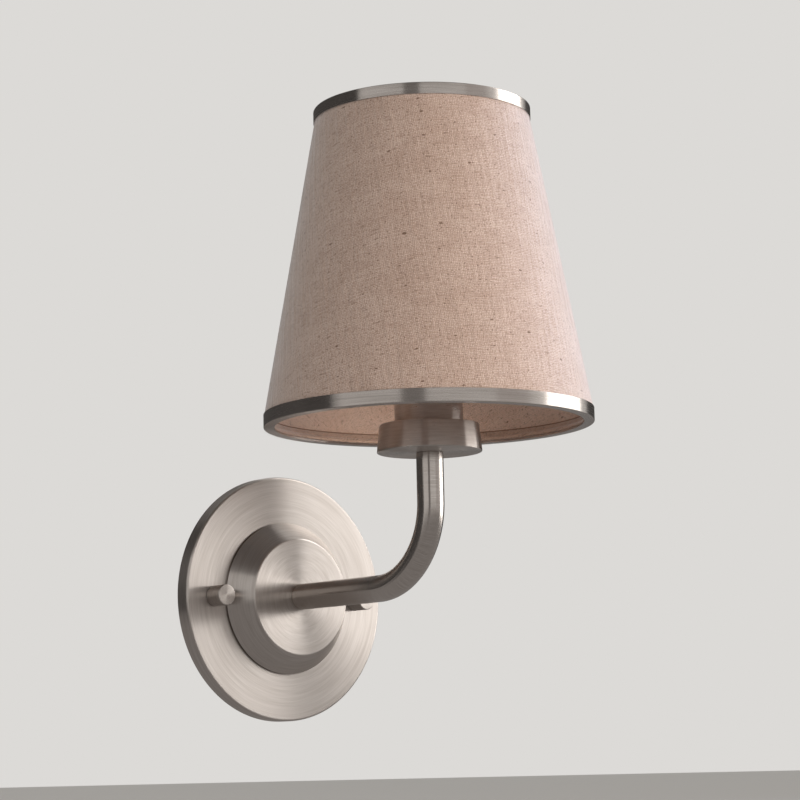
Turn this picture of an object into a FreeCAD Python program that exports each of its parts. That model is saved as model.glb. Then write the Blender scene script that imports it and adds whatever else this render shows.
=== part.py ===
import FreeCAD, Part

import math
import os

# Fabric shade wall light, millimetres.
# The wall is the plane Y = 0 and the light stands out along -Y, with +Z up.
# The origin is the centre of the backplate's back face.

# Backplate pan and the mounting plate behind it
PLATE_R = 60.325  # 4 3/4 in canopy
PLATE_DEPTH = 7.8
PLATE_WALL = 1.5
PLATE_EDGE_BEVEL = 0.9
WIRING_HOLE_R = 26.0
STUD_OFFSET = 43.8  # half the crossbar spacing
STUD_R = 2.08  # 8-32 thread
STUD_HOLE_R = 2.5
STRAP_R = 49.5
STRAP_WINDOW_R = 29.0
STRAP_THICKNESS = 2.0
BOX_SLOT_SPACING = 79.4
BOX_SLOT_LENGTH = 14.5
BOX_SLOT_R = 2.3
GROUND_SCREW_PLACE = 40.0
GROUND_SCREW_ANGLE = 225.0
LOCK_NUT_FLATS = 7.9
LOCK_NUT_THICKNESS = 3.0

# Decorative thumb nuts
THUMB_NUT_R = 5.05
THUMB_NUT_LENGTH = 9.5
THUMB_NUT_CHAMFER = 0.5
THUMB_NUT_BORE_DEPTH = 8.2
NUT_WASHER_R = 4.5
NUT_WASHER_THICKNESS = 0.5
STUD_ENGAGEMENT = 8.0

# Conical boss
BOSS_FOOT_R = 36.4
BOSS_FOOT_HEIGHT = 0.9
BOSS_BASE_R = 37.4
BOSS_FACE_R = 28.6
BOSS_HEIGHT = 12.0
BOSS_FACE_BEVEL = 0.4
BOSS_FACE_WALL = 2.5
BOSS_CAVITY_TOP_R = 23.5
BOSS_SCREW_CIRCLE_R = 30.3
BOSS_SCREW_R = 1.45
BOSS_SCREW_LENGTH = 5.6
SCREW_CLEARANCE = 0.25

# Bent arm and its two threaded nipples
ARM_REACH = 117.5  # wall to lamp axis
ARM_R = 6.35  # 1/2 in tube
ARM_BORE_R = 4.90
ARM_BEND_R = 38.0
ARM_END_CHAMFER = 0.35
NIPPLE_R = 4.865  # 1/8 IP thread
NIPPLE_BORE_R = 3.2
NIPPLE_ENGAGEMENT = 10.0
THREAD_GAP = 0.035
WALL_NIPPLE_TAIL = 8.5
TOP_NIPPLE_TAIL = 2.0
LOCK_WASHER_R = 8.0
LOCK_WASHER_THICKNESS = 1.0
PIPE_NUT_FLATS = 14.0
PIPE_NUT_THICKNESS = 3.5

# Cup, socket cover and lampholder on the lamp axis
CUP_BOTTOM = 60.7
CUP_HEIGHT = 12.9
CUP_BOTTOM_R = 24.65
CUP_TOP_R = 23.35
CUP_WALL = 1.2
CUP_FLOOR = 1.5
CUP_BEVEL = 0.5
COVER_R = 16.0
COVER_WALL = 0.8
COVER_TOP = 96.0
BRACKET_WIDTH = 10.0
BRACKET_SHEET = 1.2
BRACKET_RISE = 15.3
BRACKET_REACH = 12.0
BRACKET_FRONT = 8.0
SOCKET_LOW_R = 13.8
SOCKET_SPIGOT_R = 15.1
SOCKET_SPIGOT_LENGTH = 3.0
SOCKET_FLANGE_R = 17.0
SOCKET_FLANGE = 2.0
SLEEVE_R = 14.0
SLEEVE_TOP = 114.0
SOCKET_FLOOR = 3.5
SHELL_R = 6.6
SHELL_WALL = 0.5
SHELL_GAP = 0.05
SHELL_TOP = 105.0
SHELL_RIM = 0.6
SHELL_RIM_R = 7.6
SHELL_LENGTH = 15.7
SOCKET_MOUTH_R = 9.0
SOCKET_SCREW_TAIL = 1.2
CONTACT_SHEET = 0.4
CONTACT_WIDTH = 4.0
CONTACT_HALF_LENGTH = 5.0
CONTACT_RISE = 4.2
CONTACT_TIP = 1.5  # how far the tongue passes the axis

# Threaded shade ring
RING_HOLE_R = 14.06
RING_R = 18.0
RING_HEIGHT = 6.0
RING_GRIPS = 16
RING_GRIP_R = 1.4
RING_WASHER_R = 17.6
RING_WASHER_THICKNESS = 0.6

# Shade: a 4 x 6 x 6 in cone between two lipped metal rings
SHADE_BOTTOM = 73.2
SHADE_TOP = 223.9
BOTTOM_RING_R = 77.0
BOTTOM_RING_HEIGHT = 6.2
BOTTOM_LIP_R = 72.0
BOTTOM_FLANGE_HEIGHT = 1.1
TOP_RING_R = 51.5
TOP_RING_HEIGHT = 5.5
TOP_LIP_R = 46.7
TOP_FLANGE_HEIGHT = 1.2
BAND_WALL = 0.4
BAND_LIP = 0.5
CLOTH_GAP = 0.05
CLOTH_WALL = 0.5
LINING_WALL = 0.5
LAYER_GAP = 0.03
FRAME_WIRE_R = 1.2
FRAME_WIRE_SIDES = 8
FRAME_WIRE_GAP = 0.1
SPOKES = 3
SPOKE_R = 1.25
SPOKE_KNEE = 8.0
SPOKE_BEND_R = 7.0
SPOKE_GAP = 0.05
FIRST_SPOKE_ANGLE = 90.0
FITTER_HOLE_R = 14.3
FITTER_R = 19.0
FITTER_SHEET = 1.6

FULL_TURN = 360.0
NUT_CORNER_CHAMFER = 0.5

V = FreeCAD.Vector
ORIGIN = V(0, 0, 0)
UP = V(0, 0, 1)
PLATE_FACE = PLATE_DEPTH
BOSS_FACE = PLATE_DEPTH + BOSS_HEIGHT
NIPPLE_HOLE_R = NIPPLE_R + THREAD_GAP
ARM_TOP = CUP_BOTTOM
CUP_INSIDE = CUP_BOTTOM + CUP_FLOOR
BRACKET_BOTTOM = CUP_INSIDE + PIPE_NUT_THICKNESS
SOCKET_BOTTOM = BRACKET_BOTTOM + BRACKET_RISE
SOCKET_INSIDE = SOCKET_BOTTOM + SOCKET_FLOOR
SEAT = COVER_TOP + SOCKET_FLANGE  # the fitter ring sits here


def turned(outline):
    """A solid of revolution about +Z from (radius, height) points."""
    points = [V(radius, 0, height) for radius, height in outline]
    face = Part.Face(Part.makePolygon(points + points[:1]))
    return face.revolve(ORIGIN, UP, FULL_TURN)


def tube(outer, inner, low, high):
    """A plain round tube or washer on +Z."""
    return turned([(inner, low), (outer, low), (outer, high), (inner, high)])


def disc(radius, low, high):
    """A plain round bar on +Z."""
    return Part.makeCylinder(radius, high - low, V(0, 0, low))


def off_wall(shape):
    """Lay a piece that was drawn on +Z so that its height runs out from the wall."""
    shape.rotate(ORIGIN, V(1, 0, 0), 90)
    return shape


def on_lamp_axis(shape):
    """Shift a piece that was drawn about +Z to the lamp's axis."""
    shape.translate(V(0, -ARM_REACH, 0))
    return shape


def around(shape, place_r, angles):
    """Copies of a shape, moved out to a circle at the given angles."""
    copies = []
    for angle in angles:
        copy = shape.copy()
        copy.translate(V(place_r, 0, 0))
        copy.rotate(ORIGIN, UP, angle)
        copies.append(copy)
    return copies


def even_angles(count, first=0.0):
    return [first + FULL_TURN * i / count for i in range(count)]


def circles(shape, radius, height):
    """The circular edges of this radius whose centre is at this height."""
    found = []
    for edge in shape.Edges:
        curve = edge.Curve
        if isinstance(curve, Part.Circle):
            near_radius = abs(curve.Radius - radius) < 1e-4
            if near_radius and abs(curve.Center.z - height) < 1e-4:
                found.append(edge)
    return found


def hex_nut(flats, thickness, bore_r, low):
    """A hexagon nut with both faces chamfered at the corners."""
    corner = flats / math.sqrt(3)
    points = [V(corner * math.cos(math.radians(a)), corner * math.sin(math.radians(a)), low)
              for a in even_angles(6)]
    prism = Part.Face(Part.makePolygon(points + points[:1])).extrude(V(0, 0, thickness))
    flat_r = corner - NUT_CORNER_CHAMFER
    high = low + thickness
    drop = NUT_CORNER_CHAMFER / 2
    envelope = turned([(0, low), (flat_r, low), (corner, low + drop),
                       (corner, high - drop), (flat_r, high), (0, high)])
    return prism.common(envelope).cut(disc(bore_r, low, high))


def pan_screw(shank_r, tip, head_low, head_r, head_high):
    """A screw on +Z with a bevelled pan head at its upper end."""
    bevel = (head_high - head_low) / 2
    return turned([(0, tip), (shank_r, tip), (shank_r, head_low), (head_r, head_low),
                   (head_r, head_high - bevel), (head_r - bevel, head_high), (0, head_high)])


def bent_path(points, radius):
    """Straight runs through the points, joined by tangent arcs."""
    edges = []
    start = points[0]
    for before, corner, after in zip(points, points[1:], points[2:]):
        inward = (before - corner).normalize()
        outward = (after - corner).normalize()
        half_turn = (math.pi - inward.getAngle(outward)) / 2
        reach = radius * math.tan(half_turn)
        arc_start = corner + inward * reach
        arc_end = corner + outward * reach
        centre = corner + (inward + outward).normalize() * (radius / math.cos(half_turn))
        middle = centre + (corner - centre).normalize() * radius
        edges.append(Part.LineSegment(start, arc_start).toShape())
        edges.append(Part.Arc(arc_start, middle, arc_end).toShape())
        start = arc_end
    edges.append(Part.LineSegment(start, points[-1]).toShape())
    return Part.Wire(edges)


def rod(points, bend_r, radius):
    """A round bar swept along a bent path."""
    path = bent_path(points, bend_r)
    circle = Part.makeCircle(radius, points[0], (points[1] - points[0]).normalize())
    swept = path.makePipeShell([Part.Wire(circle)], True, False)
    expected = math.pi * radius ** 2 * path.Length
    print("rod", round(radius, 2), "length", round(path.Length, 1),
          "volume ratio", round(swept.Volume / expected, 4))
    return swept


# ---- wall side -----------------------------------------------------------

def mounting_plate():
    """Pressed steel ring with slots for the box screws and tapped stud holes."""
    plate = tube(STRAP_R, STRAP_WINDOW_R, 0, STRAP_THICKNESS)
    stud_hole = disc(STUD_R + THREAD_GAP, 0, STRAP_THICKNESS)
    for hole in around(stud_hole, STUD_OFFSET, (0, 180)):
        plate = plate.cut(hole)
    for hole in around(stud_hole, GROUND_SCREW_PLACE, (GROUND_SCREW_ANGLE,)):
        plate = plate.cut(hole)
    run = BOX_SLOT_LENGTH / 2 - BOX_SLOT_R
    slot = Part.makeBox(2 * run, 2 * BOX_SLOT_R, STRAP_THICKNESS, V(-run, -BOX_SLOT_R, 0))
    for end in (-run, run):
        slot = slot.fuse(Part.makeCylinder(BOX_SLOT_R, STRAP_THICKNESS, V(end, 0, 0)))
    for cut in around(slot.removeSplitter(), BOX_SLOT_SPACING / 2, (90, 270)):
        plate = plate.cut(cut)
    return off_wall(plate)


def plate_studs():
    """Two threaded studs, fixed in the mounting plate."""
    tip = PLATE_FACE + NUT_WASHER_THICKNESS + STUD_ENGAGEMENT
    stud = disc(STUD_R, 0, tip)
    stud = stud.makeChamfer(NUT_CORNER_CHAMFER, circles(stud, STUD_R, tip))
    return [off_wall(s) for s in around(stud, STUD_OFFSET, (180, 0))]


def stud_lock_nuts():
    """Hexagon nuts that lock the studs against the mounting plate."""
    nut = hex_nut(LOCK_NUT_FLATS, LOCK_NUT_THICKNESS, STUD_R + THREAD_GAP, STRAP_THICKNESS)
    return [off_wall(n) for n in around(nut, STUD_OFFSET, (180, 0))]


def ground_screw():
    """Green earthing screw with a flanged head, in the mounting plate."""
    head_r = 4.0
    flange_r = 4.8
    flange = 0.8
    head_top = STRAP_THICKNESS + 3.2
    screw = pan_screw(STUD_R, 0, STRAP_THICKNESS, head_r, head_top)
    screw = screw.fuse(disc(flange_r, STRAP_THICKNESS, STRAP_THICKNESS + flange)).removeSplitter()
    return off_wall(around(screw, GROUND_SCREW_PLACE, (GROUND_SCREW_ANGLE,))[0])


def backplate():
    """Round pressed pan, open towards the wall, bevelled at its front edge."""
    inside_r = PLATE_R - PLATE_WALL
    back = PLATE_DEPTH - PLATE_WALL
    pan = turned([(WIRING_HOLE_R, back), (inside_r, back), (inside_r, 0), (PLATE_R, 0),
                  (PLATE_R, PLATE_DEPTH), (WIRING_HOLE_R, PLATE_DEPTH)])
    pan = pan.makeChamfer(PLATE_EDGE_BEVEL, circles(pan, PLATE_R, PLATE_DEPTH))
    for hole in around(disc(STUD_HOLE_R, back, PLATE_DEPTH), STUD_OFFSET, (0, 180)):
        pan = pan.cut(hole)
    clearance = disc(BOSS_SCREW_R + SCREW_CLEARANCE, back, PLATE_DEPTH)
    for hole in around(clearance, BOSS_SCREW_CIRCLE_R, even_angles(3, 90)):
        pan = pan.cut(hole)
    return off_wall(pan)


def boss():
    """Cast cone with a flat face, hollow behind for the wiring."""
    foot_top = PLATE_FACE + BOSS_FOOT_HEIGHT
    cavity_top = BOSS_FACE - BOSS_FACE_WALL
    cone = turned([
        (WIRING_HOLE_R, PLATE_FACE), (BOSS_FOOT_R, PLATE_FACE), (BOSS_FOOT_R, foot_top),
        (BOSS_BASE_R, foot_top), (BOSS_FACE_R, BOSS_FACE), (NIPPLE_HOLE_R, BOSS_FACE),
        (NIPPLE_HOLE_R, cavity_top), (BOSS_CAVITY_TOP_R, cavity_top)])
    cone = cone.makeChamfer(BOSS_FACE_BEVEL, circles(cone, BOSS_FACE_R, BOSS_FACE))
    tapped = disc(BOSS_SCREW_R + THREAD_GAP, PLATE_FACE, PLATE_FACE + BOSS_SCREW_LENGTH)
    for hole in around(tapped, BOSS_SCREW_CIRCLE_R, even_angles(3, 90)):
        cone = cone.cut(hole)
    return off_wall(cone)


def boss_screws():
    """Three pan-head screws that draw the boss onto the backplate from behind."""
    head_r = 2.8
    head = 2.0
    under_plate = PLATE_DEPTH - PLATE_WALL
    tip = under_plate + BOSS_SCREW_LENGTH
    screw = pan_screw(BOSS_SCREW_R, -tip, -under_plate, head_r, head - under_plate)
    screw.rotate(ORIGIN, V(1, 0, 0), 180)
    return [off_wall(s) for s in around(screw, BOSS_SCREW_CIRCLE_R, even_angles(3, 90))]


def thumb_nut(side):
    """Smooth round nut with a blind tapped bore, on the side given as an angle."""
    low = PLATE_FACE + NUT_WASHER_THICKNESS
    high = low + THUMB_NUT_LENGTH
    nut = disc(THUMB_NUT_R, low, high)
    nut = nut.makeChamfer(THUMB_NUT_CHAMFER, circles(nut, THUMB_NUT_R, high))
    nut = nut.cut(disc(STUD_R + THREAD_GAP, low, low + THUMB_NUT_BORE_DEPTH))
    return off_wall(around(nut, STUD_OFFSET, (side,))[0])


def nut_washer(side):
    """Thin nylon washer that keeps the thumb nut off the brushed face."""
    washer = tube(NUT_WASHER_R, STUD_R + THREAD_GAP, PLATE_FACE, PLATE_FACE + NUT_WASHER_THICKNESS)
    return off_wall(around(washer, STUD_OFFSET, (side,))[0])


# ---- arm -----------------------------------------------------------------

def arm_tube():
    """Half-inch tube: out from the boss, one wide quarter bend, and up."""
    route = [V(0, -BOSS_FACE, 0), V(0, -ARM_REACH, 0), V(0, -ARM_REACH, ARM_TOP)]
    arm = rod(route, ARM_BEND_R, ARM_R)
    rims = [e for e in arm.Edges if isinstance(e.Curve, Part.Circle) and e.isClosed()
            and abs(e.Curve.Radius - ARM_R) < 1e-4
            and (abs(e.Curve.Center.y + BOSS_FACE) < 1e-3 or abs(e.Curve.Center.z - ARM_TOP) < 1e-3)]
    arm = arm.makeChamfer(ARM_END_CHAMFER, rims)
    return arm.cut(rod(route, ARM_BEND_R, ARM_BORE_R))


def arm_nipple():
    """Threaded pipe that holds the arm to the boss and lets the leads through."""
    high = BOSS_FACE + NIPPLE_ENGAGEMENT
    low = BOSS_FACE - WALL_NIPPLE_TAIL
    return off_wall(tube(NIPPLE_R, NIPPLE_BORE_R, low, high))


def nipple_washer():
    high = BOSS_FACE - BOSS_FACE_WALL
    return off_wall(tube(LOCK_WASHER_R, NIPPLE_HOLE_R, high - LOCK_WASHER_THICKNESS, high))


def nipple_nut():
    low = BOSS_FACE - BOSS_FACE_WALL - LOCK_WASHER_THICKNESS - PIPE_NUT_THICKNESS
    return off_wall(hex_nut(PIPE_NUT_FLATS, PIPE_NUT_THICKNESS, NIPPLE_HOLE_R, low))


def top_nipple():
    high = BRACKET_BOTTOM + BRACKET_SHEET + TOP_NIPPLE_TAIL
    return on_lamp_axis(tube(NIPPLE_R, NIPPLE_BORE_R, ARM_TOP - NIPPLE_ENGAGEMENT, high))


# ---- cup and lampholder --------------------------------------------------

def cup():
    """Turned cup, slightly wider at its floor, with a bevelled lower edge."""
    top = CUP_BOTTOM + CUP_HEIGHT
    bowl = turned([
        (NIPPLE_HOLE_R, CUP_BOTTOM), (CUP_BOTTOM_R, CUP_BOTTOM), (CUP_TOP_R, top),
        (CUP_TOP_R - CUP_WALL, top), (CUP_BOTTOM_R - CUP_WALL, CUP_INSIDE),
        (NIPPLE_HOLE_R, CUP_INSIDE)])
    bowl = bowl.makeChamfer(CUP_BEVEL, circles(bowl, CUP_BOTTOM_R, CUP_BOTTOM))
    return on_lamp_axis(bowl)


def cup_nut():
    return on_lamp_axis(hex_nut(PIPE_NUT_FLATS, PIPE_NUT_THICKNESS, NIPPLE_HOLE_R, CUP_INSIDE))


def socket_cover():
    """Metal sleeve that hides the lampholder."""
    return on_lamp_axis(tube(COVER_R, COVER_R - COVER_WALL, CUP_INSIDE, COVER_TOP))


def socket_bracket():
    """Sheet bracket: a tapped foot on the nipple, one leg and a top tab."""
    low = BRACKET_BOTTOM
    high = SOCKET_BOTTOM
    t = BRACKET_SHEET
    outline = [(-BRACKET_FRONT, low), (BRACKET_REACH, low), (BRACKET_REACH, high),
               (-CONTACT_HALF_LENGTH, high), (-CONTACT_HALF_LENGTH, high - t),
               (BRACKET_REACH - t, high - t), (BRACKET_REACH - t, low + t),
               (-BRACKET_FRONT, low + t)]
    half = BRACKET_WIDTH / 2
    points = [V(-half, y, z) for y, z in outline]
    sheet = Part.Face(Part.makePolygon(points + points[:1])).extrude(V(BRACKET_WIDTH, 0, 0))

    def bends(y):
        return [e for e in sheet.Edges
                if abs(e.BoundBox.XLength - BRACKET_WIDTH) < 1e-4
                and e.BoundBox.YLength < 1e-4 and abs(e.BoundBox.Center.y - y) < 1e-4]

    sheet = sheet.makeFillet(2 * t, bends(BRACKET_REACH))
    sheet = sheet.makeFillet(t, bends(BRACKET_REACH - t))
    sheet = sheet.cut(disc(NIPPLE_HOLE_R, low, low + t))
    sheet = sheet.cut(disc(BOSS_SCREW_R + THREAD_GAP, high - t, high))
    return on_lamp_axis(sheet)


def socket_body():
    """Moulded candelabra lampholder: spigot, flange, threaded sleeve and lead holes."""
    spigot_low = COVER_TOP - SOCKET_SPIGOT_LENGTH
    shell_hole_r = SHELL_R + SHELL_GAP
    body = turned([
        (0, SOCKET_BOTTOM), (SOCKET_LOW_R, SOCKET_BOTTOM), (SOCKET_LOW_R, spigot_low),
        (SOCKET_SPIGOT_R, spigot_low), (SOCKET_SPIGOT_R, COVER_TOP),
        (SOCKET_FLANGE_R, COVER_TOP), (SOCKET_FLANGE_R, SEAT), (SLEEVE_R, SEAT),
        (SLEEVE_R, SLEEVE_TOP), (SOCKET_MOUTH_R, SLEEVE_TOP), (SOCKET_MOUTH_R, SHELL_TOP),
        (shell_hole_r, SHELL_TOP), (shell_hole_r, SOCKET_INSIDE), (0, SOCKET_INSIDE)])
    body = body.makeChamfer(NUT_CORNER_CHAMFER, circles(body, SLEEVE_R, SLEEVE_TOP))
    body = body.cut(disc(BOSS_SCREW_R + THREAD_GAP, SOCKET_BOTTOM, SOCKET_INSIDE))
    return on_lamp_axis(body)


def screw_shell():
    """Brass lamp shell with a turned-out rim that seats in the holder."""
    low = SHELL_TOP - SHELL_LENGTH
    inner = SHELL_R - SHELL_WALL
    shell = turned([
        (inner, low), (SHELL_R, low), (SHELL_R, SHELL_TOP), (SHELL_RIM_R, SHELL_TOP),
        (SHELL_RIM_R, SHELL_TOP + SHELL_RIM), (inner, SHELL_TOP + SHELL_RIM)])
    return on_lamp_axis(shell)


def centre_contact():
    """Brass spring: a foot under the screw and a tongue folded back over it."""
    t = CONTACT_SHEET
    low = SOCKET_INSIDE
    end = CONTACT_HALF_LENGTH
    top = low + CONTACT_RISE
    outline = [(-end, low), (end, low), (end, top - t), (-CONTACT_TIP, top + t), (-CONTACT_TIP, top),
               (end - t, top - 2 * t), (end - t, low + t), (-end, low + t)]
    half = CONTACT_WIDTH / 2
    points = [V(-half, y, z) for y, z in outline]
    spring = Part.Face(Part.makePolygon(points + points[:1])).extrude(V(CONTACT_WIDTH, 0, 0))
    spring = spring.cut(disc(BOSS_SCREW_R + THREAD_GAP, low, low + t))
    return on_lamp_axis(spring)


def socket_screw():
    """Screw through the contact and the holder's floor into the bracket."""
    head_r = 2.6
    head = 1.5
    seat = SOCKET_INSIDE + CONTACT_SHEET
    tip = SOCKET_BOTTOM - BRACKET_SHEET - SOCKET_SCREW_TAIL
    return on_lamp_axis(pan_screw(BOSS_SCREW_R, tip, seat, head_r, seat + head))


def ring_washer():
    low = SEAT + FITTER_SHEET
    washer = tube(RING_WASHER_R, FITTER_HOLE_R, low, low + RING_WASHER_THICKNESS)
    return on_lamp_axis(washer)


def shade_ring():
    """Moulded retaining ring with finger grips round its rim."""
    low = SEAT + FITTER_SHEET + RING_WASHER_THICKNESS
    high = low + RING_HEIGHT
    ring = tube(RING_R, RING_HOLE_R, low, high)
    ring = ring.makeChamfer(NUT_CORNER_CHAMFER, circles(ring, RING_R, high))
    groove = disc(RING_GRIP_R, low, high)
    for cut in around(groove, RING_R + RING_GRIP_R / 2, even_angles(RING_GRIPS)):
        ring = ring.cut(cut)
    return on_lamp_axis(ring)


# ---- shade ---------------------------------------------------------------

BOTTOM_BAND_TOP = SHADE_BOTTOM + BOTTOM_RING_HEIGHT
TOP_BAND_BOTTOM = SHADE_TOP - TOP_RING_HEIGHT
CLOTH_BOTTOM_R = BOTTOM_RING_R - BAND_WALL - CLOTH_GAP
CLOTH_TOP_R = TOP_RING_R - BAND_WALL - CLOTH_GAP
BOTTOM_WIRE_R = CLOTH_BOTTOM_R - CLOTH_WALL - LINING_WALL - FRAME_WIRE_GAP - FRAME_WIRE_R
TOP_WIRE_R = CLOTH_TOP_R - CLOTH_WALL - LINING_WALL - FRAME_WIRE_GAP - FRAME_WIRE_R
BOTTOM_WIRE_Z = SHADE_BOTTOM + BAND_LIP + FRAME_WIRE_GAP + FRAME_WIRE_R
TOP_WIRE_Z = SHADE_TOP - BAND_LIP - FRAME_WIRE_GAP - FRAME_WIRE_R


def layer(inset, wall):
    """One layer of the cone, straight where the two rings hold it."""
    low = SHADE_BOTTOM + BAND_LIP + CLOTH_GAP
    high = SHADE_TOP - BAND_LIP - CLOTH_GAP
    line = [(CLOTH_BOTTOM_R - inset, low), (CLOTH_BOTTOM_R - inset, BOTTOM_BAND_TOP),
            (CLOTH_TOP_R - inset, TOP_BAND_BOTTOM), (CLOTH_TOP_R - inset, high)]
    back = [(radius - wall, height) for radius, height in reversed(line)]
    return on_lamp_axis(turned(line + back))


def shade_fabric():
    """Linen cover, laminated round the cone."""
    return layer(0, CLOTH_WALL)


def shade_lining():
    return layer(CLOTH_WALL + LAYER_GAP, LINING_WALL - LAYER_GAP)


def bottom_trim_ring():
    """Metal band with a turned-in lip and a short upstanding inner edge."""
    inner = BOTTOM_RING_R - BAND_WALL
    flange_top = SHADE_BOTTOM + BOTTOM_FLANGE_HEIGHT
    floor = SHADE_BOTTOM + BAND_LIP
    return on_lamp_axis(turned([
        (BOTTOM_LIP_R, SHADE_BOTTOM), (BOTTOM_RING_R, SHADE_BOTTOM),
        (BOTTOM_RING_R, BOTTOM_BAND_TOP), (inner, BOTTOM_BAND_TOP), (inner, floor),
        (BOTTOM_LIP_R + BAND_WALL, floor), (BOTTOM_LIP_R + BAND_WALL, flange_top),
        (BOTTOM_LIP_R, flange_top)]))


def top_trim_ring():
    """The same section as the bottom band, the other way up."""
    inner = TOP_RING_R - BAND_WALL
    flange_low = SHADE_TOP - TOP_FLANGE_HEIGHT
    ceiling = SHADE_TOP - BAND_LIP
    return on_lamp_axis(turned([
        (TOP_LIP_R, SHADE_TOP), (TOP_RING_R, SHADE_TOP), (TOP_RING_R, TOP_BAND_BOTTOM),
        (inner, TOP_BAND_BOTTOM), (inner, ceiling), (TOP_LIP_R + BAND_WALL, ceiling),
        (TOP_LIP_R + BAND_WALL, flange_low), (TOP_LIP_R, flange_low)]))


def wire_ring(radius, height):
    """A ring of round wire, its section drawn with a few sides because it is hidden."""
    section = [math.radians(angle) for angle in even_angles(FRAME_WIRE_SIDES)]
    return on_lamp_axis(turned([(radius + FRAME_WIRE_R * math.cos(angle),
                                 height + FRAME_WIRE_R * math.sin(angle)) for angle in section]))


def spoke_wires():
    """Three wires, brazed to the fitter ring, rising to the top wire ring."""
    height = SEAT + SPOKE_R
    knee = V(FITTER_R + SPOKE_KNEE, 0, height)
    rim = V(TOP_WIRE_R, 0, TOP_WIRE_Z)
    rise = (rim - knee).normalize()
    end = rim - rise * (FRAME_WIRE_R + SPOKE_GAP)
    spoke = rod([V(FITTER_R + SPOKE_GAP, 0, height), knee, end], SPOKE_BEND_R, SPOKE_R)
    return [on_lamp_axis(s) for s in around(spoke, 0, even_angles(SPOKES, FIRST_SPOKE_ANGLE))]


def fitter_ring():
    """Washer-shaped ring that drops over the lampholder's sleeve."""
    return on_lamp_axis(tube(FITTER_R, FITTER_HOLE_R, SEAT, SEAT + FITTER_SHEET))


PIECES = {
    "mounting_plate": mounting_plate(),
    "plate_studs": plate_studs(),
    "stud_lock_nuts": stud_lock_nuts(),
    "ground_screw": ground_screw(),
    "backplate": backplate(),
    "boss": boss(),
    "boss_screws": boss_screws(),
    "thumb_nut_left": thumb_nut(180),
    "thumb_nut_right": thumb_nut(0),
    "nut_washer_left": nut_washer(180),
    "nut_washer_right": nut_washer(0),
    "arm_tube": arm_tube(),
    "arm_nipple": arm_nipple(),
    "nipple_washer": nipple_washer(),
    "nipple_nut": nipple_nut(),
    "top_nipple": top_nipple(),
    "cup": cup(),
    "cup_nut": cup_nut(),
    "socket_cover": socket_cover(),
    "socket_bracket": socket_bracket(),
    "socket_body": socket_body(),
    "screw_shell": screw_shell(),
    "centre_contact": centre_contact(),
    "socket_screw": socket_screw(),
    "ring_washer": ring_washer(),
    "shade_ring": shade_ring(),
    "fitter_ring": fitter_ring(),
    "spoke_wires": spoke_wires(),
    "top_wire_ring": wire_ring(TOP_WIRE_R, TOP_WIRE_Z),
    "bottom_wire_ring": wire_ring(BOTTOM_WIRE_R, BOTTOM_WIRE_Z),
    "shade_fabric": shade_fabric(),
    "shade_lining": shade_lining(),
    "top_trim_ring": top_trim_ring(),
    "bottom_trim_ring": bottom_trim_ring(),
}

os.makedirs("parts", exist_ok=True)
for node, piece in PIECES.items():
    solids = piece if isinstance(piece, list) else [piece]
    bodies = [solid for shape in solids for solid in shape.Solids]
    shape = bodies[0] if len(bodies) == 1 else Part.makeCompound(bodies)
    shape.exportStep(os.path.join("parts", node + ".step"))
    print(node, len(bodies), "valid" if shape.isValid() else "NOT VALID", round(shape.Volume, 1))
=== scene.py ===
import math

import bmesh
import bpy
from mathutils import Euler, Matrix, Vector, noise


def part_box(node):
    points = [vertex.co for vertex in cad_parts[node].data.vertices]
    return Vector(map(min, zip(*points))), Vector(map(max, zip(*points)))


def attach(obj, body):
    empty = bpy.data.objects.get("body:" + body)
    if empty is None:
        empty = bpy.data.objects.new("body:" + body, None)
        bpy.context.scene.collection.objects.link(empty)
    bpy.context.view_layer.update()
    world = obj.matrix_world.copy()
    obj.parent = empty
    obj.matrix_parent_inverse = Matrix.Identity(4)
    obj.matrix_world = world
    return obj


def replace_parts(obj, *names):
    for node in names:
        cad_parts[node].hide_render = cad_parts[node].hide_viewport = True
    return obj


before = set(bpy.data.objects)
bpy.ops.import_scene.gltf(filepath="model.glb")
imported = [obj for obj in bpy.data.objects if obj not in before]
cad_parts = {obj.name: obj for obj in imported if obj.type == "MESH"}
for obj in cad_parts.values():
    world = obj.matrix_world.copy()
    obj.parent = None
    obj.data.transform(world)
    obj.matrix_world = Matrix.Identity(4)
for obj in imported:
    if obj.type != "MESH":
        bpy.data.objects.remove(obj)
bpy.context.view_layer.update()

# ---- Mounting plate, its studs, nuts and screws ------------------------------
# A pressed steel ring that the wall box's screws hold, with two threaded studs in it.
# All of this hidden hardware is zinc plated: a cool grey with a soft, slightly cloudy gloss.

MM = 0.001
ZINC_COLOUR = "#C4C6C8"
ZINC_CLOUD_COLOUR = "#B3B6B9"
ZINC_CLOUD = 3.0 * MM


def linear(code):
    """The linear RGBA of an sRGB hex code."""
    shares = [int(code[i:i + 2], 16) / 255 for i in (1, 3, 5)]
    return [s / 12.92 if s <= 0.04045 else ((s + 0.055) / 1.055) ** 2.4 for s in shares] + [1.0]


def fill(node, sockets):
    """Gives each socket, by name or number, a value or another node's output."""
    for socket, value in sockets.items():
        if isinstance(value, bpy.types.NodeSocket):
            node.id_data.links.new(value, node.inputs[socket])
        else:
            node.inputs[socket].default_value = value


def add(owner, kind, sockets, **settings):
    """Adds a node with its settings to a material or the world, and fills its sockets."""
    node = owner.node_tree.nodes.new("ShaderNode" + kind)
    for name, value in settings.items():
        setattr(node, name, value)
    fill(node, sockets)
    return node


def new_finish(name):
    """A material and its Principled shader."""
    material = bpy.data.materials.new(name)
    material.use_nodes = True
    return material, material.node_tree.nodes["Principled BSDF"]


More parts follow.
